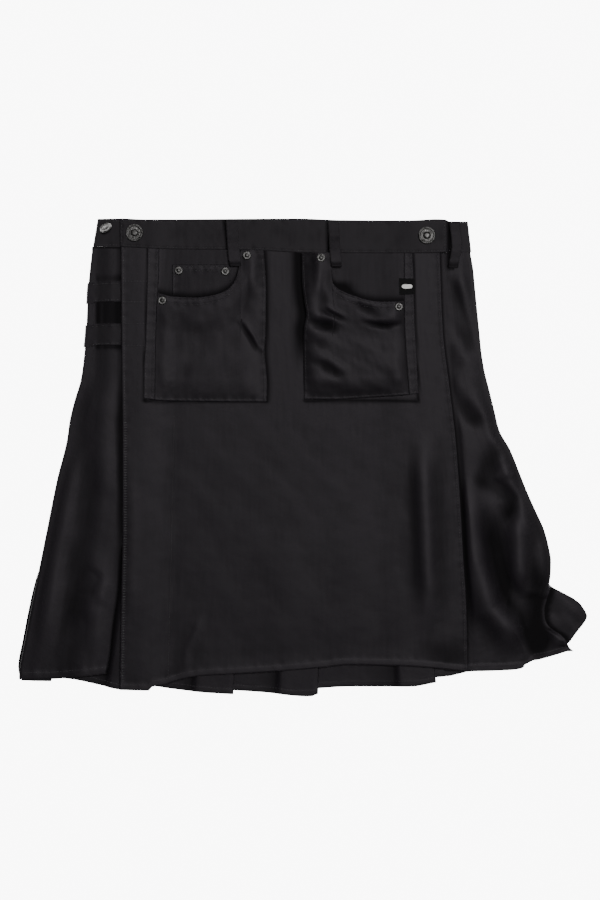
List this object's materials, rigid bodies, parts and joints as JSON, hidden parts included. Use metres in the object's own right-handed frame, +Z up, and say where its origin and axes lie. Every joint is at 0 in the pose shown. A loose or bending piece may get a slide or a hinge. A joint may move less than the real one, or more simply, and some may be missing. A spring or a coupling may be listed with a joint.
{
  "type": "utility kilt",
  "caption": "Black pleated utility kilt laid flat, front up, with jeans-style patch pockets, waistband, belt loops, hip straps and metal buttons.",
  "frame": {"origin": "on the table under the middle of the laid-out kilt's bounding box", "axes": "+X to the right across the front as it lies, +Y towards the waistband, +Z up from the table"},
  "size_m": [0.647, 0.5439, 0.0211],
  "materials": {
    "black_twill": "black cotton-satin twill, soft sheen",
    "band_twill": "black cotton-satin twill in two layers, pressed",
    "silver_metal": "nickel-plated, slightly worn",
    "label_weave": "black damask-woven label"
  },
  "bodies": {
    "root": {"back_panel": "black_twill", "belt_loop_left": "band_twill", "belt_loop_middle": "band_twill", "belt_loop_right": "band_twill", "button_hip": "silver_metal", "button_left": "silver_metal", "button_right": "silver_metal", "front_apron": "black_twill", "hip_strap_lower": "band_twill", "hip_strap_upper": "band_twill", "left_side_panel": "black_twill", "pocket_left_body": "black_twill", "pocket_left_coin": "black_twill", "pocket_left_facing": "black_twill", "pocket_left_strip": "black_twill", "pocket_right_body": "black_twill", "pocket_right_facing": "black_twill", "pocket_right_strip": "black_twill", "right_side_panel": "black_twill", "right_under_panel": "black_twill", "rivet_coin_left": "silver_metal", "rivet_coin_right": "silver_metal", "rivet_left_mouth": "silver_metal", "rivet_left_strip": "silver_metal", "rivet_right_mouth": "silver_metal", "rivet_right_strip": "silver_metal", "waistband_back": "band_twill", "waistband_front": "band_twill", "woven_label": "label_weave"}
  },
  "joints": []
}
